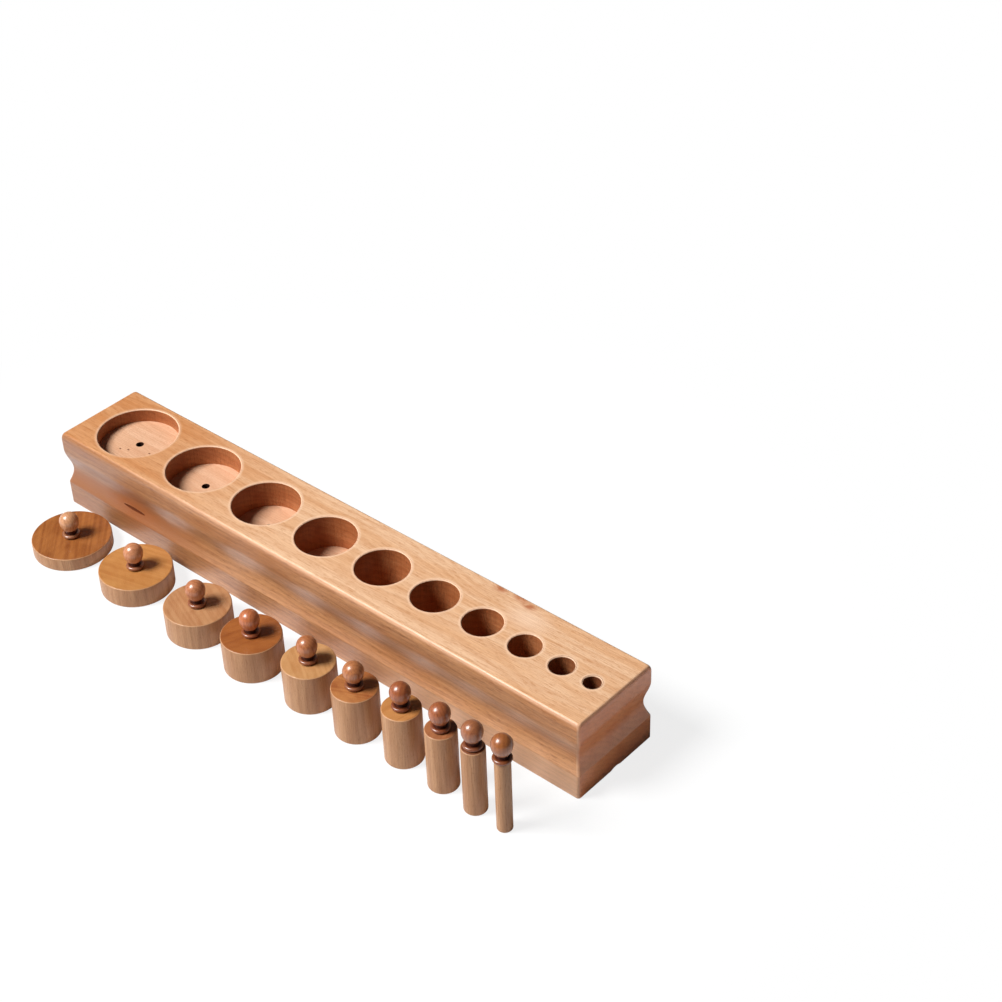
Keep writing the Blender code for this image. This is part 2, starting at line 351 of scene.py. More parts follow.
def groove_cutter(material):
    """A long round bar that cuts the shallow relief groove along the block's underside."""
    radius = ((GROOVE_WIDTH / 2) ** 2 + GROOVE_DEPTH**2) / (2 * GROOVE_DEPTH)
    length = BLOCK_LENGTH + 2 * CUTTER_OVERRUN
    form = bmesh.new()
    bmesh.ops.create_cone(
        form, cap_ends=True, segments=GROOVE_STEPS, radius1=radius, radius2=radius, depth=length
    )
    bar = piece_from(form, "cutter_groove", CUTTER_GROUP)
    bar.location = (BLOCK_MIDDLE.x, BLOCK_MIDDLE.y, GROOVE_DEPTH - radius)
    bar.rotation_euler = (0, pi / 2, 0)
    bar.data.materials.append(material)
    return bar


def crack_cutter(material):
    """A long thin lens that opens the crack in the front of the block."""
    form = bmesh.new()
    bmesh.ops.create_icosphere(form, subdivisions=LENS_DETAIL, radius=UNIT_RADIUS)
    bmesh.ops.scale(form, verts=form.verts, vec=(CRACK_LENGTH, 2 * CRACK_DEPTH, CRACK_HEIGHT))
    along, height = CRACK_PLACE
    lens = piece_from(form, "cutter_crack", CUTTER_GROUP)
    lens.location = (along, BLOCK_LOW.y + hollow_inset(height), height)
    lens.data.materials.append(material)
    return lens


def make_block():
    """The drilled block, with its crack and its groove. A cutter leaves its material on what it cuts."""
    beech_looks = block_material()
    socket_looks = socket_material()
    pilot_shade_looks = dark_cut_material("pilot_painted_shade_looks", PILOT_SHADE_TONES)
    crack_looks = dark_cut_material("crack_looks", CRACK_TONES)
    cutters = [groove_cutter(beech_looks), crack_cutter(crack_looks)]
    for cylinder in CYLINDERS:
        cutters.append(socket_cutter(cylinder, socket_looks))
        cutters.append(pilot_cutter(cylinder, pilot_shade_looks))
    for cutter in cutters:
        cutter.hide_render = True
        cutter.display_type = "WIRE"
    block = moulded_blank("beech_block")
    block.data.materials.append(beech_looks)
    drilling = block.modifiers.new("drilling", "BOOLEAN")
    drilling.operation = "DIFFERENCE"
    drilling.solver = "EXACT"
    drilling.material_mode = "TRANSFER"
    drilling.operand_type = "COLLECTION"
    drilling.collection = CUTTER_GROUP
    applied(block)
    for cutter in cutters:
        bpy.data.objects.remove(cutter, do_unlink=True)
    shaded_smooth(block)
    weighting = block.modifiers.new("even_shading", "WEIGHTED_NORMAL")
    weighting.keep_sharp = True
    weighting.weight = SHADING_WEIGHT
    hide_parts("block")
    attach(block, "block")
    return block


def make_body(cylinder):
    """A cylinder's turned body, with the blind bore for its knob's tenon."""
    radius, height = cylinder.radius, cylinder.height
    bore = TENON_DIAMETER / 2 + JOINT_GAP
    bore_floor = height - TENON_LENGTH - JOINT_GAP
    outline = [(0, bore_floor), (bore, bore_floor), (bore, height)]
    outline += arc((radius - BODY_EDGE, height - BODY_EDGE), BODY_EDGE, pi / 2, 0)
    outline += arc((radius - BODY_EDGE, BODY_EDGE), BODY_EDGE, 0, -pi / 2)
    outline.append((0, 0))
    body = turned(f"beech_{cylinder.name}_body", outline, steps_round(radius), SET_GROUP)
    body.location = cylinder.foot
    shaded_smooth(applied(body))
    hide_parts(f"{cylinder.name}_body")
    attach(body, cylinder.name)
    return body


def ball_outline():
    """The ball's outer side: a round top, a longer lower half, and the rounded lip that it ends in."""
    radius = BALL_DIAMETER / 2
    outline = arc((0, BALL_CENTRE_HEIGHT), radius, pi / 2, 0, BALL_STEPS)
    lip = BALL_RIM_DROP - BALL_RIM_RADIUS
    for step in range(1, LONG_ARC_STEPS + 1):
        drop = lip * step / LONG_ARC_STEPS
        outline.append((radius * sqrt(1 - (drop / BALL_LOWER_REACH) ** 2), BALL_CENTRE_HEIGHT - drop))
    lip_out = outline[-1][0] - BALL_RIM_RADIUS
    outline += arc((lip_out, BALL_CENTRE_HEIGHT - lip), BALL_RIM_RADIUS, 0, -pi / 2)[1:]
    return outline


def neck_outline():
    """The neck: a shallow hollow turned between the ball's lip and the flange."""
    head = BALL_CENTRE_HEIGHT - BALL_RIM_DROP
    outline = []
    for step in range(ARC_STEPS + 1):
        share = step / ARC_STEPS
        radius = NECK_DIAMETER / 2 * (1 - NECK_HOLLOW_SHARE * sin(pi * share))
        outline.append((radius, head + (FLANGE_HEIGHT - head) * share))
    return outline


def flange_outline():
    """The flange's rounded outer side, from the neck down to its flat underside."""
    half = FLANGE_HEIGHT / 2
    return arc((FLANGE_DIAMETER / 2 - half, half), half, pi / 2, -pi / 2, LONG_ARC_STEPS)


def make_knob(cylinder):
    """A turned knob, seated on its body with its tenon in the body's bore."""
    tenon = TENON_DIAMETER / 2
    tenon_foot = -TENON_LENGTH - JOINT_GAP
    outline = ball_outline() + neck_outline() + flange_outline()
    outline += [(tenon, 0), (tenon, tenon_foot + TENON_EDGE)]
    outline += [(tenon - TENON_EDGE, tenon_foot), (0, tenon_foot)]
    knob = turned(f"beech_{cylinder.name}_knob", outline, FEWEST_STEPS, SET_GROUP)
    knob.location = cylinder.foot + Vector((0, 0, cylinder.height + JOINT_GAP))
    shaded_smooth(applied(knob))
    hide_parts(f"{cylinder.name}_knob")
    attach(knob, cylinder.name)
    return knob


# Materials

# The noise that all the markings are made of, and how many finer layers it has where a marking names none
NOISE_SCALE = 1.0
NOISE_DETAIL = 2.0


class Mark:
    """One kind of marking in the wood.

    size is in metres along, across and through the grain, shown says between which values its noise comes to
    show, share is how far it takes the wood to its darker tone, and detail is its number of finer layers.
    """

    def __init__(self, size, shown, share, detail=NOISE_DETAIL):
        self.size = size
        self.shown = shown
        self.share = share
        self.detail = detail


class Finish:
    """How a piece is varnished. depth is the height in metres of the wood's relief."""

    def __init__(self, roughness, coat, coat_roughness, depth):
        self.roughness = roughness
        self.coat = coat
        self.coat_roughness = coat_roughness
        self.depth = depth


# The markings of beech
FIBRE = Mark(size=(0.014, 0.0006, 0.0006), shown=(0.30, 0.75), share=0.34, detail=3.0)
FLECK = Mark(size=(0.0022, 0.00042, 0.00042), shown=(0.58, 0.72), share=0.40, detail=1.0)
DASH = Mark(size=(0.0060, 0.0008, 0.0008), shown=(0.56, 0.70), share=0.42, detail=1.0)
STREAK = Mark(size=(0.070, 0.0030, 0.0030), shown=(0.46, 0.68), share=0.22)

# How its tone drifts, how its rings waver, and where in a ring late wood starts, is full and starts to fade
DRIFT_SIZE = (0.110, 0.012, 0.012)
DRIFT_SHOWN = (0.40, 0.65)
WAVER_SIZE = (0.110, 0.034, 0.034)
WAVER_REACH = 0.016
LATE_WOOD_SHARES = (0.20, 0.85, 0.90)
LATE_SHARE = 0.26

# Which of a piece's axes run along, across and through its grain
ALONG_THE_BLOCK = (0, 1, 2)
UP_THE_PIECE = (2, 0, 1)

# What fibres add to the roughness, how deep flecks lie for fibres of height 1, and the wood's own shine
FIBRE_ROUGHNESS = 0.16
FLECK_RELIEF = -0.6
WOOD_SPECULAR = 0.3

# How squarely a surface faces where a body's edge, pale from wear and a painted highlight, starts and is
# full; where a patch starts and is full
EDGE_WEAR_AND_HIGHLIGHT_FACING = (0.93, 0.80)
PATCH_FADE = (1.0, 0.0)


class Wiring:
    """A tree's nodes, made and linked in few words. An input is a value or another node's output."""

    def __init__(self, tree):
        self.tree = tree

    def put(self, value, socket):
        """Gives a socket its value or its link."""
        if isinstance(value, bpy.types.NodeSocket):
            self.tree.links.new(value, socket)
        else:
            socket.default_value = value

    def node(self, kind, inputs=(), **settings):
        """A node of this kind with its settings and its first inputs."""
        made = self.tree.nodes.new(kind)
        for name, value in settings.items():
            setattr(made, name, value)
        for value, socket in zip(inputs, made.inputs):
            self.put(value, socket)
        return made

    def math(self, operation, *values):
        """The result of a sum on numbers."""
        return self.node("ShaderNodeMath", values, operation=operation).outputs[0]

    def product(self, first, *others):
        """The product of numbers."""
        for other in others:
            first = self.math("MULTIPLY", first, other)
        return first

    def ramp(self, value, low, high, start=0.0, end=1.0):
        """A smooth step of a number, from start at low to end at high, and level beyond them."""
        inputs = (value, low, high, start, end)
        return self.node("ShaderNodeMapRange", inputs, interpolation_type="SMOOTHSTEP").outputs[0]

    def noise(self, grain, size, detail=NOISE_DETAIL):
        """Noise from 0 to 1 whose lumps have this size along, across and through the grain."""
        scaled = self.node("ShaderNodeVectorMath", (grain, size), operation="DIVIDE").outputs[0]
        made = self.tree.nodes.new("ShaderNodeTexNoise")
        self.put(scaled, made.inputs["Vector"])
        made.inputs["Scale"].default_value = NOISE_SCALE
        made.inputs["Detail"].default_value = detail
        return made.outputs["Fac"]

    def mark(self, grain, mark):
        """Where one kind of marking shows, from 0 to 1."""
        return self.ramp(self.noise(grain, mark.size, mark.detail), *mark.shown)

    def mix(self, share, first, second):
        """Two colours mixed."""
        made = self.tree.nodes.new("ShaderNodeMix")
        made.data_type = "RGBA"
        self.put(share, made.inputs["Factor"])
        self.put(first, made.inputs["A"])
        self.put(second, made.inputs["B"])
        return made.outputs["Result"]

    def length(self, first, second):
        """The length of the long side of a right-angled triangle."""
        squares = self.math("MULTIPLY_ADD", first, first, self.product(second, second))
        return self.math("SQRT", squares)

    def gap(self, spans, place, reach=(1.0, 1.0)):
        """How far a point is from a place, seen in its first two spans and measured in a reach for each."""
        parts = [self.math("SUBTRACT", spans[i], place[i]) for i in range(2)]
        return self.length(*[self.math("DIVIDE", parts[i], reach[i]) for i in range(2)])

    def patch(self, spans, place, reach, fade=PATCH_FADE):
        """A mask of an oval patch about a place, whose edge fades between these distances."""
        return self.ramp(self.gap(spans, place, reach), *fade)


def new_looks(name):
    """A new material and the wiring of its nodes."""
    material = bpy.data.materials.new(name)
    material.use_nodes = True
    return material, Wiring(material.node_tree)


class Grain:
    """Where a point lies in the wood, and which way its surface faces.

    order names the object's axes that run along, across and through the grain, turn is an angle about the
    object's own Z axis, and shift moves the piece to another part of the tree.
    """

    def __init__(self, wiring, order, turn=0.0, shift=(0.0, 0.0, 0.0)):
        source = wiring.tree.nodes.new("ShaderNodeTexCoord")
        turned_place = wiring.node("ShaderNodeVectorRotate", rotation_type="Z_AXIS")
        wiring.put(source.outputs["Object"], turned_place.inputs["Vector"])
        turned_place.inputs["Angle"].default_value = turn
        place = wiring.node("ShaderNodeSeparateXYZ", (turned_place.outputs[0],)).outputs
        normal = wiring.node("ShaderNodeSeparateXYZ", (source.outputs["Normal"],)).outputs
        self.height = place[2]
        self.radius = wiring.length(place[0], place[1])
        self.spans = [wiring.math("ADD", place[axis], move) for axis, move in zip(order, shift)]
        self.vector = wiring.node("ShaderNodeCombineXYZ", self.spans).outputs[0]
        self.facing = [wiring.math("ABSOLUTE", normal[axis]) for axis in range(3)]
        self.upward = normal[2]
        self.outward = wiring.length(normal[0], normal[1])


def growth_lines(wiring, grain, pith, ring_width, bend=0.0):
    """The late wood of growth rings about a far pith, from 0 to 1. They waver, and bend pushes them aside."""
    reach = wiring.gap(grain.spans[1:], pith)
    reach = wiring.math("MULTIPLY_ADD", wiring.noise(grain.vector, WAVER_SIZE), WAVER_REACH, reach)
    reach = wiring.math("ADD", reach, bend)
    phase = wiring.math("FRACT", wiring.math("DIVIDE", reach, ring_width))
    start, full, fading = LATE_WOOD_SHARES
    return wiring.product(wiring.ramp(phase, start, full), wiring.ramp(phase, 1.0, fading))


def beech(wiring, grain, late, tones, marks=(STREAK, DASH)):
    """Beech's colour, and its fibres and relief. tones are its light, dark and drifting tone."""
    light, dark, drift = tones
    fibre = wiring.mark(grain.vector, FIBRE)
    fleck = wiring.mark(grain.vector, FLECK)
    drifting = wiring.ramp(wiring.noise(grain.vector, DRIFT_SIZE), *DRIFT_SHOWN)
    colour = wiring.mix(drifting, light, drift)
    shade = wiring.product(late, LATE_SHARE)
    shade = wiring.math("MULTIPLY_ADD", fibre, FIBRE.share, shade)
    shade = wiring.math("MULTIPLY_ADD", fleck, FLECK.share, shade)
    for mark in marks:
        shade = wiring.math("MULTIPLY_ADD", wiring.mark(grain.vector, mark), mark.share, shade)
    colour = wiring.mix(shade, colour, dark)
    relief = wiring.math("MULTIPLY_ADD", fleck, FLECK_RELIEF, fibre)
    return colour, fibre, relief


def varnish(wiring, colour, fibre, relief, finish, coat=None):
    """Gives the wood its varnish and its relief. Where coat is given, it stands for the finish's own."""
    shader = wiring.tree.nodes["Principled BSDF"]
    wiring.put(colour, shader.inputs["Base Color"])
    roughness = wiring.math("MULTIPLY_ADD", fibre, FIBRE_ROUGHNESS, finish.roughness)
    wiring.put(roughness, shader.inputs["Roughness"])
    shader.inputs["Specular IOR Level"].default_value = WOOD_SPECULAR
    wiring.put(finish.coat if coat is None else coat, shader.inputs["Coat Weight"])
    shader.inputs["Coat Roughness"].default_value = finish.coat_roughness
    bump = wiring.tree.nodes.new("ShaderNodeBump")
    bump.inputs["Distance"].default_value = finish.depth
    wiring.put(relief, bump.inputs["Height"])
    wiring.put(bump.outputs["Normal"], shader.inputs["Normal"])


def rounded_edge_mask(wiring, facing, turn):
    """A mask of rounded edges: high where the surface faces none of these ways squarely."""
    squarely = facing[0]
    for share in facing[1:]:
        squarely = wiring.math("MAXIMUM", squarely, share)
    return wiring.ramp(squarely, *turn)


# The block's tones: light, dark and drifting, for its top, sides and ends, and the same at its darker left
# Painted shade: the sides are darker than the top, and the right end deeper and redder, as less light falls
# on them
TOP_TONES = (srgb(242, 199, 160), srgb(206, 148, 102), srgb(234, 184, 140))
SIDE_TONES = (srgb(196, 143, 98), srgb(142, 88, 48), srgb(180, 123, 78))
END_TONES = (srgb(236, 150, 90), srgb(206, 114, 56), srgb(228, 136, 74))
LEFT_TOP_TONES = (srgb(222, 162, 112), srgb(188, 118, 64), srgb(212, 144, 90))
LEFT_SIDE_TONES = (srgb(168, 116, 72), srgb(124, 72, 36), srgb(156, 100, 58))
LEFT_END_TONES = (srgb(198, 138, 92), srgb(160, 98, 56), srgb(186, 122, 76))

# Its pale edges at the right and at the left, its varnish, its rings, and where one look passes into another
# Painted highlight: the edges' pale tone is partly wear and partly a highlight, dimmer at the left
BLOCK_EDGE_WEAR_AND_HIGHLIGHT_TONES = (srgb(228, 180, 146), srgb(164, 112, 74))
BLOCK_EDGE_WEAR_AND_HIGHLIGHT_FACING = (0.97, 0.86)
BLOCK_EDGE_WEAR_AND_HIGHLIGHT_SHARE = 0.55
BLOCK_RUBBED_SHARES = (0.75, 1.0)
BLOCK_FINISH = Finish(roughness=0.36, coat=1.0, coat_roughness=0.30, depth=0.00010)
BLOCK_PITH = (-0.110, -0.150)
BLOCK_RING_WIDTH = 0.0036
LEFT_REACH = (-0.02, -0.19)
SIDE_TURN = (0.85, 0.60)
END_TURN = (0.50, 0.90)
TOP_TURN = (0.50, 0.90)
FLANK_TURN = (0.30, 0.60)

# How far the painted highlight round a socket's rim reaches on the top, and how much it shows at the right
# and at the left
RING_WIDTH = 0.0019
RING_SHARES = (0.8, 0.35)


class Streak:
    """A streak along the block. top, foot and reach say where it fades in from above, below and along."""

    def __init__(self, top, foot, reach, share, tone):
        self.top = top
        self.foot = foot
        self.reach = reach
        self.share = share
        self.tone = tone


# The orange streak along the bead at the left, and a paler band on the plinth at the right, a painted sheen
STREAKS = (
    Streak(
        top=(0.034, 0.027),
        foot=(0.0172, 0.0184),
        reach=(-0.085, -0.135),
        share=0.9,
        tone=srgb(148, 88, 42),
    ),
    Streak(
        top=(0.0190, 0.0170),
        foot=(-0.002, -0.001),
        reach=(0.02, 0.14),
        share=0.4,
        tone=srgb(238, 194, 156),
    ),
)

# The reddish stain round the crack: its reach along the block and upwards, and where across it fades in
STAIN_REACH = (0.032, 0.026)
STAIN_DEPTH = (-0.010, -0.020)
STAIN_SHARE = 0.60
STAIN_TONE = srgb(146, 76, 32)

# The knot at the back edge of the top: how it bends the rings, and how much of that is left a reach away
KNOT_PLACE = (0.1250, 0.0300)
KNOT_REACH = (0.046, 0.020)
KNOT_BEND = 0.012
KNOT_FALL_SHARE = 0.368

# Its reddish spots, and the pale wood beside it
KNOT_SPOTS = ((0.1160, 0.0308), (0.1320, 0.0314), (0.1410, 0.0290))
KNOT_SPOT_REACH = (0.0085, 0.0042)
KNOT_SPECKLE = Mark(size=(0.0050, 0.0018, 0.0018), shown=(0.24, 0.50), share=0.85)
KNOT_TONE = srgb(176, 88, 40)
KNOT_PALE_PLACE = (0.1480, 0.0190)
KNOT_PALE_REACH = (0.026, 0.014)
KNOT_PALE_SHARE = 0.6
KNOT_PALE_TONE = srgb(250, 214, 184)


def block_tones(wiring, grain):
    """The block's light, dark and drifting tone at each point, by place, and by the way the surface faces, as
    painted light and shade.
    """
    # Painted light and shade: faces that look up take the top's lighter tone, steeper faces the sides' darker
    # one
    side = wiring.ramp(grain.upward, *SIDE_TURN)
    end = wiring.ramp(grain.facing[0], *END_TURN)
    left = wiring.ramp(grain.spans[0], *LEFT_REACH)
    right_tones = zip(TOP_TONES, SIDE_TONES, END_TONES)
    left_tones = zip(LEFT_TOP_TONES, LEFT_SIDE_TONES, LEFT_END_TONES)
    tones = []
    for right_tone, left_tone in zip(right_tones, left_tones):
        top, flank, tip = [wiring.mix(left, *pair) for pair in zip(right_tone, left_tone)]
        tones.append(wiring.mix(end, wiring.mix(side, top, flank), tip))
    return tones


def with_streaks(wiring, grain, colour):
    """The colour with the streaks along the block's long sides."""
    flank = wiring.ramp(grain.facing[1], *FLANK_TURN)
    for streak in STREAKS:
        from_above = wiring.ramp(grain.height, *streak.top)
        from_below = wiring.ramp(grain.height, *streak.foot)
        along = wiring.ramp(grain.spans[0], *streak.reach)
        share = wiring.product(flank, streak.share, from_above, from_below, along)
        colour = wiring.mix(share, colour, streak.tone)
    return colour


def with_stain(wiring, grain, colour):
    """The colour with the stain round the crack, on the front of the block only."""
    along, height = CRACK_PLACE
    place = (along - BLOCK_MIDDLE.x, height)
    patch = wiring.patch((grain.spans[0], grain.height), place, STAIN_REACH)
    front = wiring.ramp(grain.spans[1], *STAIN_DEPTH)
    return wiring.mix(wiring.product(patch, front, STAIN_SHARE), colour, STAIN_TONE)


def knot_bend(wiring, grain):
    """How far the knot pushes the growth rings aside."""
    far = wiring.gap(grain.spans, KNOT_PLACE, KNOT_REACH)
    closeness = wiring.math("POWER", KNOT_FALL_SHARE, wiring.product(far, far))
    return wiring.product(closeness, KNOT_BEND)


def with_knot(wiring, grain, colour):
    """The colour with the knot's reddish spots and the pale wood beside it."""
    top = wiring.ramp(grain.upward, *TOP_TURN)
    pale = wiring.patch(grain.spans, KNOT_PALE_PLACE, KNOT_PALE_REACH)
    colour = wiring.mix(wiring.product(pale, top, KNOT_PALE_SHARE), colour, KNOT_PALE_TONE)
    speckle = wiring.product(wiring.mark(grain.vector, KNOT_SPECKLE), top)
    for place in KNOT_SPOTS:
        spot = wiring.patch(grain.spans, place, KNOT_SPOT_REACH)
        share = wiring.product(spot, speckle, KNOT_SPECKLE.share)
        colour = wiring.mix(share, colour, KNOT_TONE)
    return colour


def rim_highlight_rings(wiring, grain):
    """A mask of the painted highlight on the top round the sockets' rims."""
    flat = wiring.node("ShaderNodeCombineXYZ", grain.spans[:2]).outputs[0]
    nearest = RING_WIDTH
    for cylinder in CYLINDERS:
        middle = (cylinder.socket_along - BLOCK_MIDDLE.x, 0, 0)
        far = wiring.node("ShaderNodeVectorMath", (flat, middle), operation="DISTANCE").outputs["Value"]
        beyond = wiring.math("SUBTRACT", far, cylinder.socket_radius + SOCKET_RIM_RADIUS)
        nearest = wiring.math("MINIMUM", beyond, nearest)
    return wiring.product(wiring.ramp(grain.upward, *TOP_TURN), wiring.ramp(nearest, RING_WIDTH, 0))


def block_material():
    """Long-grained beech, darker at its left, with streaks, a stain, a knot, and painted highlights on worn
    edges and rims.
    """
    material, wiring = new_looks("block_beech_looks")
    grain = Grain(wiring, ALONG_THE_BLOCK)
    late = growth_lines(wiring, grain, BLOCK_PITH, BLOCK_RING_WIDTH, knot_bend(wiring, grain))
    colour, fibre, relief = beech(wiring, grain, late, block_tones(wiring, grain))
    colour = with_streaks(wiring, grain, with_knot(wiring, grain, colour))
    colour = with_stain(wiring, grain, colour)
    left = wiring.ramp(grain.spans[0], *LEFT_REACH)
    # Paler rounded edges: partly wear, partly a painted highlight that is dimmer at the left
    wear_and_highlight = rounded_edge_mask(wiring, grain.facing, BLOCK_EDGE_WEAR_AND_HIGHLIGHT_FACING)
    edge_wear_and_highlight_tone = wiring.mix(left, *BLOCK_EDGE_WEAR_AND_HIGHLIGHT_TONES)
    colour = wiring.mix(wiring.product(wear_and_highlight, BLOCK_EDGE_WEAR_AND_HIGHLIGHT_SHARE), colour, edge_wear_and_highlight_tone)
    # A painted highlight on the top round each socket's rim, fainter at the left
    ring_share = wiring.ramp(grain.spans[0], *LEFT_REACH, *RING_SHARES)
    rings = wiring.product(rim_highlight_rings(wiring, grain), ring_share)
    colour = wiring.mix(rings, colour, SOCKET_RIM_HIGHLIGHT_TONE)
    rubbed = wiring.product(wear_and_highlight, wiring.ramp(grain.spans[0], *LEFT_REACH, *BLOCK_RUBBED_SHARES))
    varnish(wiring, colour, fibre, relief, BLOCK_FINISH, wiring.math("SUBTRACT", BLOCK_FINISH.coat, rubbed))
    return material


# The sockets' walls and floors, light, dark and drifting, their rims, and the painted shade in the narrow
# ones
# Painted shade: the walls' tones are darker and redder than the floors', for the shade inside a socket
SHADED_SOCKET_WALL_TONES = (srgb(192, 124, 78), srgb(148, 82, 42), srgb(176, 104, 60))
SOCKET_FLOOR_TONES = (srgb(228, 184, 150), srgb(204, 150, 114), srgb(220, 172, 136))
# Painted highlight: the pale tone of the sockets' rims
SOCKET_RIM_HIGHLIGHT_TONE = srgb(246, 206, 172)
SOCKET_RIM_HIGHLIGHT_FACING = (0.985, 0.90)
SOCKET_RIM_HIGHLIGHT_SHARE = 0.85
# Painted shade: the sockets darken towards the block's right end, where they are narrow and deep
NARROW_SOCKET_SHADE_REACH = (0.15, 0.22)
NARROW_SOCKET_SHADE_SHARE = 0.75
NARROW_SOCKET_SHADE_TONE = srgb(100, 50, 26)
SOCKET_FINISH = Finish(roughness=0.5, coat=0.15, coat_roughness=0.3, depth=0.00012)
SOCKET_CUT = Mark(size=(0.0008, 0.0008, 0.030), shown=(0.45, 0.65), share=0.25, detail=1.0)
SOCKET_FLOOR_TURN = (0.80, 0.95)

# The specks in the floor of the widest socket
FLOOR_SPECKS = ((-0.1972, -0.0119), (-0.1918, -0.0092), (-0.1768, -0.0031), (-0.1740, -0.0048))
SPECK_REACH = (0.0009, 0.0006)
SPECK_EDGE = (1.3, 0.6)
SPECK_TONE = srgb(110, 56, 30)


def socket_material():
    """The drilled wood in a socket: its wall, darker as painted shade, more so in the narrow ones, its floor
    and its rim's painted highlight.
    """
    material, wiring = new_looks("socket_beech_looks")
    grain = Grain(wiring, ALONG_THE_BLOCK)
    floor = wiring.ramp(grain.facing[2], *SOCKET_FLOOR_TURN)
    tones = [wiring.mix(floor, wall, bottom) for wall, bottom in zip(SHADED_SOCKET_WALL_TONES, SOCKET_FLOOR_TONES)]
    late = growth_lines(wiring, grain, BLOCK_PITH, BLOCK_RING_WIDTH)
    colour, fibre, relief = beech(wiring, grain, late, tones, (SOCKET_CUT,))
    # Painted shade in the narrow, deep sockets at the right
    narrow_shade = wiring.product(wiring.ramp(grain.spans[0], *NARROW_SOCKET_SHADE_REACH), NARROW_SOCKET_SHADE_SHARE)
    colour = wiring.mix(narrow_shade, colour, NARROW_SOCKET_SHADE_TONE)
    for place in FLOOR_SPECKS:
        speck = wiring.patch(grain.spans, place, SPECK_REACH, SPECK_EDGE)
        colour = wiring.mix(wiring.product(speck, floor), colour, SPECK_TONE)
    # A painted highlight on the socket's rounded rim
    rim = rounded_edge_mask(wiring, (grain.facing[2], grain.outward), SOCKET_RIM_HIGHLIGHT_FACING)
    rim = wiring.product(rim, SOCKET_RIM_HIGHLIGHT_SHARE)
    colour = wiring.mix(rim, colour, SOCKET_RIM_HIGHLIGHT_TONE)
    varnish(wiring, colour, fibre, relief, SOCKET_FINISH)
    return material


# Light, dark and drifting tones: the pilot holes' painted nearly black as their shade, the crack's redder and
# partly painted shade
PILOT_SHADE_TONES = (srgb(70, 31, 14), srgb(38, 16, 8), srgb(54, 24, 11))
CRACK_TONES = (srgb(110, 48, 10), srgb(76, 30, 4), srgb(93, 39, 7))
DARK_CUT_FINISH = Finish(roughness=0.6, coat=0.0, coat_roughness=0.3, depth=0.00010)


def dark_cut_material(name, tones):
    """Painted shade, nearly black, inside the pilot holes, or the redder wood inside the crack, partly
    painted shade.
    """
    material, wiring = new_looks(name)
    grain = Grain(wiring, ALONG_THE_BLOCK)
    late = growth_lines(wiring, grain, BLOCK_PITH, BLOCK_RING_WIDTH)
    colour, fibre, relief = beech(wiring, grain, late, tones)
    varnish(wiring, colour, fibre, relief, DARK_CUT_FINISH)
    return material


# The ten bodies: the light and dark tone of each one's end grain, and which way its rays run
BODY_TOP_TONES = (
    (srgb(166, 102, 48), srgb(127, 66, 21)),
    (srgb(191, 133, 73), srgb(170, 108, 52)),
    (srgb(189, 139, 96), srgb(168, 112, 71)),
    (srgb(160, 93, 41), srgb(133, 68, 23)),
    (srgb(199, 149, 98), srgb(178, 122, 71)),
    (srgb(185, 122, 68), srgb(143, 75, 33)),
    (srgb(193, 133, 75), srgb(166, 102, 48)),
    (srgb(172, 110, 68), srgb(137, 77, 42)),
    (srgb(141, 83, 48), srgb(108, 58, 33)),
    (srgb(189, 131, 85), srgb(160, 100, 58)),
)
BODY_TURN_DEGREES = (-44, 75, -70, 20, -60, 65, 10, -30, 50, 0)
BODY_TURNS = [radians(degrees) for degrees in BODY_TURN_DEGREES]

# Their sides, light, dark and drifting, edges paler from wear and a painted highlight, varnish, and the
# markings of sides and tops
BODY_SIDE_TONES = (srgb(190, 144, 103), srgb(151, 103, 65), srgb(177, 129, 89))
BODY_EDGE_WEAR_AND_HIGHLIGHT_TONE = srgb(214, 168, 128)
BODY_EDGE_WEAR_AND_HIGHLIGHT_SHARE = 0.45
BODY_FINISH = Finish(roughness=0.40, coat=0.3, coat_roughness=0.25, depth=0.00009)
BODY_RING_WIDTH = 0.0052
BODY_TOP_TURN = (0.60, 0.95)
BODY_STREAK = Mark(size=(0.080, 0.0016, 0.0030), shown=(0.44, 0.68), share=0.20)
RAY = Mark(size=(0.090, 0.0030, 0.090), shown=(0.36, 0.66), share=0.50, detail=1.0)
PORE = Mark(size=(0.0005, 0.0005, 0.0005), shown=(0.40, 0.70), share=0.16, detail=1.0)
PATCH = Mark(size=(0.014, 0.014, 0.014), shown=(0.42, 0.64), share=0.30)
END_LATE_SHARE = 0.12

# How far one cylinder's wood lies from the next one's in the tree, and where the bodies' pith is
TREE_STEP = Vector((0.037, 0.011, 0.007))
BODY_PITH = Vector((0.060, -0.040))


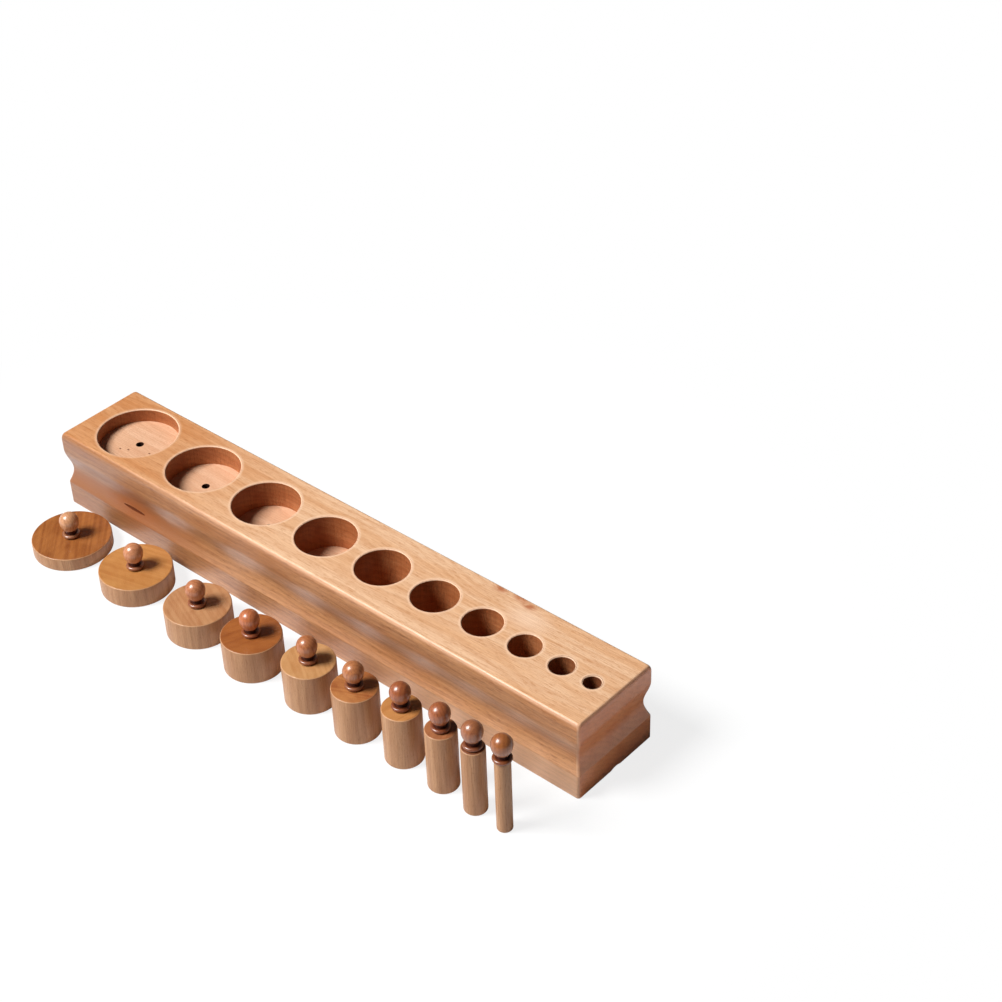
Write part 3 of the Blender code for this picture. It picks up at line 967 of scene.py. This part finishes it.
def body_material(cylinder):
    """Beech with its grain up the cylinder: pale sides, deeper end grain on top, and edges paler from wear
    and a painted highlight.
    """
    material, wiring = new_looks(f"{cylinder.name}_beech_looks")
    shift = TREE_STEP * cylinder.place
    grain = Grain(wiring, UP_THE_PIECE, BODY_TURNS[cylinder.place], shift)
    late = growth_lines(wiring, grain, BODY_PITH + shift.yz, BODY_RING_WIDTH)
    colour, fibre, relief = beech(wiring, grain, late, BODY_SIDE_TONES, (BODY_STREAK,))
    shade = wiring.product(late, END_LATE_SHARE)
    for mark in (RAY, PORE, PATCH):
        shade = wiring.math("MULTIPLY_ADD", wiring.mark(grain.vector, mark), mark.share, shade)
    top = wiring.mix(shade, *BODY_TOP_TONES[cylinder.place])
    colour = wiring.mix(wiring.ramp(grain.facing[2], *BODY_TOP_TURN), colour, top)
    # Paler edges: partly wear, partly a painted highlight
    wear_and_highlight = rounded_edge_mask(wiring, (grain.facing[2], grain.outward), EDGE_WEAR_AND_HIGHLIGHT_FACING)
    wear_and_highlight = wiring.product(wear_and_highlight, BODY_EDGE_WEAR_AND_HIGHLIGHT_SHARE)
    colour = wiring.mix(wear_and_highlight, colour, BODY_EDGE_WEAR_AND_HIGHLIGHT_TONE)
    varnish(wiring, colour, fibre, relief, BODY_FINISH)
    return material


# The light and dark tones of the ten knobs
KNOB_TONES = (
    (srgb(212, 156, 113), srgb(160, 100, 62)),
    (srgb(206, 140, 99), srgb(158, 93, 56)),
    (srgb(194, 125, 83), srgb(140, 77, 43)),
    (srgb(196, 115, 69), srgb(142, 72, 37)),
    (srgb(186, 116, 71), srgb(139, 74, 40)),
    (srgb(188, 120, 73), srgb(138, 76, 41)),
    (srgb(166, 92, 50), srgb(121, 57, 28)),
    (srgb(168, 96, 55), srgb(120, 58, 29)),
    (srgb(164, 102, 64), srgb(123, 66, 38)),
    (srgb(165, 98, 49), srgb(125, 65, 28)),
)

# Their varnish and grain, the dark painted shade and stain in the hollow of the neck, and the painted shade
# on the flange
KNOB_FINISH = Finish(roughness=0.34, coat=1.0, coat_roughness=0.25, depth=0.00005)
KNOB_RING_WIDTH = 0.0021
KNOB_PITH = Vector((0.020, 0.012))
KNOB_STREAK = Mark(size=(0.020, 0.0014, 0.0014), shown=(0.46, 0.66), share=0.18)
NECK_SHADE_AND_STAIN_TONE = srgb(72, 28, 12)
NECK_SOFTNESS = 0.0006
NECK_MATT_SHARE = 0.85
FLANGE_SHADE_TONE = srgb(104, 46, 22)
FLANGE_SHADE_SHARE = 0.6


def shade_and_stain_places(wiring, grain):
    """Where the knob is painted dark: a mask of the flange, in the ball's painted shade, and one of the
    hollow above it, in shade and stain.
    """
    flange = wiring.ramp(grain.height, FLANGE_HEIGHT + NECK_SOFTNESS, FLANGE_HEIGHT)
    lip = BALL_CENTRE_HEIGHT - BALL_RIM_DROP
    low = wiring.ramp(grain.height, lip + NECK_SOFTNESS, lip)
    outside, inside = FLANGE_DIAMETER / 2 - FLANGE_HEIGHT / 2, NECK_DIAMETER / 2 + NECK_SOFTNESS
    inner = wiring.ramp(grain.radius, outside, inside)
    return flange, wiring.product(low, inner)


def knob_material(cylinder):
    """Stained beech under a glossier varnish, with painted shade on the flange, and dark from painted shade
    and stain, and matt, in the neck.
    """
    material, wiring = new_looks(f"{cylinder.name}_knob_looks")
    shift = TREE_STEP * cylinder.place
    grain = Grain(wiring, UP_THE_PIECE, BODY_TURNS[cylinder.place], shift)
    light, dark = KNOB_TONES[cylinder.place]
    late = growth_lines(wiring, grain, KNOB_PITH + shift.yz, KNOB_RING_WIDTH)
    colour, fibre, relief = beech(wiring, grain, late, (light, dark, light), (KNOB_STREAK,))
    flange, neck = shade_and_stain_places(wiring, grain)
    # Painted shade of the ball on the flange, and painted shade and stain in the neck's hollow
    colour = wiring.mix(wiring.product(flange, FLANGE_SHADE_SHARE), colour, FLANGE_SHADE_TONE)
    colour = wiring.mix(neck, colour, NECK_SHADE_AND_STAIN_TONE)
    matt = wiring.product(neck, NECK_MATT_SHARE)
    varnish(wiring, colour, fibre, relief, KNOB_FINISH, wiring.math("SUBTRACT", KNOB_FINISH.coat, matt))
    return material


# The studio

# The floor, which shows whiter away from the object
FLOOR_REACH = 6.0
FLOOR_DROP = 0.00005
FLOOR_TONE = srgb(231, 227, 227)
FLOOR_WHITE_SHARE = 0.82
FLOOR_GLOSS_SHARE = 0.04
FLOOR_FADE = (0.24, 0.42)
WHITE = (1.0, 1.0, 1.0, 1.0)

# The key light, and the room's faint light
KEY_PLACE = (-1.53, -2.00, 3.14)
KEY_SIZE = 1.75
KEY_POWER = 255
LIGHTS_AIM = (0, 0, 0.03)
ROOM_LIGHT = 0.035
ROOM_WHITE_SHARE = 0.965
ROOM_GLOSS_SHARE = 0.05


def background_share(wiring, seen, mirrored):
    """How white the background is: as the camera sees it, as gloss mirrors it, and zero for other light."""
    path = wiring.tree.nodes.new("ShaderNodeLightPath").outputs
    in_gloss = wiring.math("MAXIMUM", path["Is Glossy Ray"], path["Is Transmission Ray"])
    in_gloss = wiring.product(in_gloss, mirrored)
    return wiring.math("MULTIPLY_ADD", path["Is Camera Ray"], seen, in_gloss)


def floor_material():
    """Pale paper that shows white, more so away from the object, and keeps the object's shadows."""
    material, wiring = new_looks("floor_white")
    wiring.tree.nodes.clear()
    place = wiring.tree.nodes.new("ShaderNodeTexCoord").outputs["Object"]
    reach = wiring.node("ShaderNodeVectorMath", (place,), operation="LENGTH").outputs["Value"]
    seen = wiring.ramp(reach, *FLOOR_FADE, FLOOR_WHITE_SHARE, 1.0)
    share = background_share(wiring, seen, FLOOR_GLOSS_SHARE)
    in_view = wiring.tree.nodes.new("ShaderNodeLightPath").outputs["Is Camera Ray"]
    paper = wiring.node("ShaderNodeBsdfDiffuse", (wiring.mix(in_view, FLOOR_TONE, WHITE),)).outputs[0]
    white = wiring.node("ShaderNodeEmission", (WHITE,)).outputs[0]
    mixed = wiring.node("ShaderNodeMixShader", (share, paper, white)).outputs[0]
    wiring.node("ShaderNodeOutputMaterial", (mixed,))
    return material


def studio_floor():
    """A wide pale floor."""
    form = bmesh.new()
    bmesh.ops.create_grid(form, x_segments=1, y_segments=1, size=FLOOR_REACH)
    floor = piece_from(form, "floor", STUDIO_GROUP)
    floor.data.materials.append(floor_material())
    floor.location = (0, 0, -FLOOR_DROP)


def area_light(name, place, size, power):
    """A round soft light that looks at the object."""
    lamp = bpy.data.lights.new(name, "AREA")
    lamp.shape = "DISK"
    lamp.size = size
    lamp.energy = power
    holder = bpy.data.objects.new(name, lamp)
    STUDIO_GROUP.objects.link(holder)
    holder.location = place
    holder.rotation_euler = (Vector(LIGHTS_AIM) - Vector(place)).to_track_quat("-Z", "Y").to_euler()


def studio_lights():
    """A large soft key from the front left and a faint room."""
    area_light("key", KEY_PLACE, KEY_SIZE, KEY_POWER)
    world = bpy.data.worlds.new("room")
    bpy.context.scene.world = world
    world.use_nodes = True
    wiring = Wiring(world.node_tree)
    background = world.node_tree.nodes["Background"]
    background.inputs["Color"].default_value = WHITE
    share = background_share(wiring, ROOM_WHITE_SHARE, ROOM_GLOSS_SHARE)
    wiring.put(wiring.math("ADD", share, ROOM_LIGHT), background.inputs["Strength"])


def studio_camera():
    """The camera at the photograph's place."""
    lens = bpy.data.cameras.new("camera")
    lens.sensor_width = SENSOR_WIDTH
    lens.lens = FOCAL_LENGTH_PIXELS / PICTURE_WIDTH * SENSOR_WIDTH
    camera = bpy.data.objects.new("camera", lens)
    STUDIO_GROUP.objects.link(camera)
    azimuth = Matrix.Rotation(CAMERA_AZIMUTH, MATRIX_SIZE, "Z")
    tilt = Matrix.Rotation(pi / 2 - CAMERA_ELEVATION, MATRIX_SIZE, "X")
    roll = Matrix.Rotation(CAMERA_ROLL, MATRIX_SIZE, "Z")
    camera.matrix_world = Matrix.Translation(CAMERA_PLACE) @ (azimuth @ tilt) @ roll
    bpy.context.scene.camera = camera


studio_camera()
studio_floor()
studio_lights()
bpy.context.scene.view_settings.view_transform = "Standard"

make_block()
for one in CYLINDERS:
    make_body(one).data.materials.append(body_material(one))
    make_knob(one).data.materials.append(knob_material(one))
